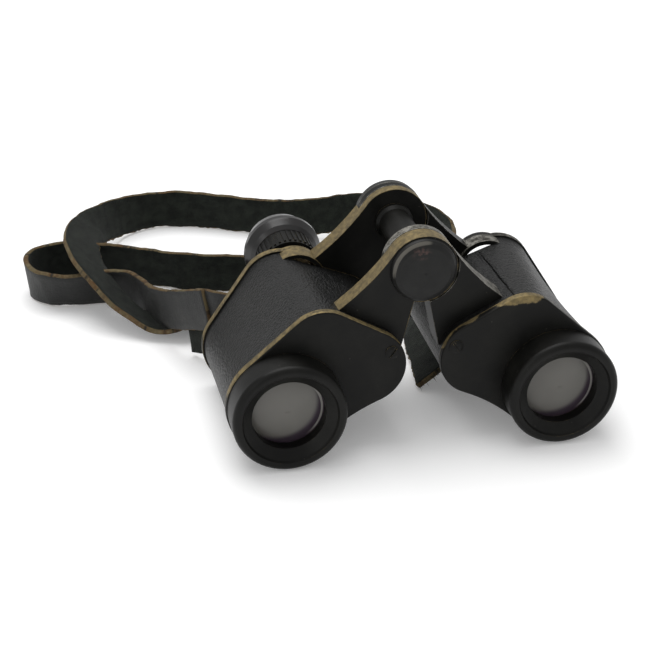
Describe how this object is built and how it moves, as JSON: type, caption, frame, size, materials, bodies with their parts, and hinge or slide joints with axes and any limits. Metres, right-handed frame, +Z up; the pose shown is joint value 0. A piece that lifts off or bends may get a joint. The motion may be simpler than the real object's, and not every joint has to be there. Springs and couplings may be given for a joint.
{
  "type": "binoculars",
  "caption": "Compact Porro prism binoculars with a centre hinge, one turning focus eyepiece, an open right eyepiece bore, leather-covered bodies and a torn leather neck strap.",
  "frame": {"origin": "on the resting plane, under the middle of the instrument's bounding box without the strap", "axes": "+X from the left to the right half, +Y from the objectives to the eyepieces, +Z up"},
  "size_m": [0.1812, 0.1936, 0.0714],
  "materials": {
    "black_enamel": "satin black enamel, worn to brass on edges",
    "body_leather": "black pebbled leather",
    "bakelite": "polished black",
    "bright_brass": "turned brass",
    "glass": "polished",
    "shelf_metal": "cast",
    "steel": "brushed",
    "satin_cap": "satin black with bright chamfer",
    "worn_grey": "worn grey",
    "strap_leather": "thin black strap leather, tan at the cut edges"
  },
  "bodies": {
    "left_half": {"axle_screw": "steel", "hinge_axle": "steel", "hinge_cap": "satin_cap", "hinge_tube": "black_enamel", "interpupillary_scale_disc": "worn_grey", "left_cover_screw": "black_enamel", "left_eyepiece_tube": "black_enamel", "left_front_cover": "black_enamel", "left_front_prism": "glass", "left_front_prism_clip": "steel", "left_housing": "black_enamel", "left_leather": "body_leather", "left_objective_crown_lens": "glass", "left_objective_flint_lens": "glass", "left_objective_retainer": "bright_brass", "left_objective_ring": "black_enamel", "left_prism_shelf": "shelf_metal", "left_rear_cover": "black_enamel", "left_rear_prism": "glass", "left_rear_prism_clip": "steel", "left_strap_lug": "steel", "strap_fold": "strap_leather", "strap_free_run": "strap_leather", "strap_lug_run": "strap_leather"},
    "right_half": {"right_cover_screw": "black_enamel", "right_front_cover": "black_enamel", "right_front_prism": "glass", "right_front_prism_clip": "steel", "right_housing": "black_enamel", "right_leather": "body_leather", "right_objective_crown_lens": "glass", "right_objective_flint_lens": "glass", "right_objective_retainer": "bright_brass", "right_objective_ring": "black_enamel", "right_prism_shelf": "shelf_metal", "right_rear_cover": "black_enamel", "right_rear_prism": "glass", "right_rear_prism_clip": "steel", "right_strap_lug": "steel"},
    "left_ocular": {"left_eye_lens": "glass", "left_field_lens": "glass", "left_ocular_tube": "bright_brass"},
    "left_focus": {"left_eyecup": "bakelite", "left_focus_ring": "black_enamel"}
  },
  "joints": [
    {"name": "hinge_fold", "type": "hinge", "parent": "left_half", "child": "right_half", "pos_m": [0, 0, 0.05996], "axis": [0, 1, 0], "range_deg": [-22, 17]},
    {"name": "left_focus_turn", "type": "hinge", "parent": "left_ocular", "child": "left_focus", "pos_m": [-0.0329, 0.035, 0.04056], "axis": [0, 1, 0], "range_deg": [-150, 180]},
    {"name": "left_focus_slide", "type": "slide", "parent": "left_half", "child": "left_ocular", "axis": [0, 1, 0], "range_m": [-0.0021, 0.0025]}
  ],
  "couplings": [
    {"joint": "left_focus_slide", "follows": "left_focus_turn", "m_per_rad": 0.00079577}
  ]
}
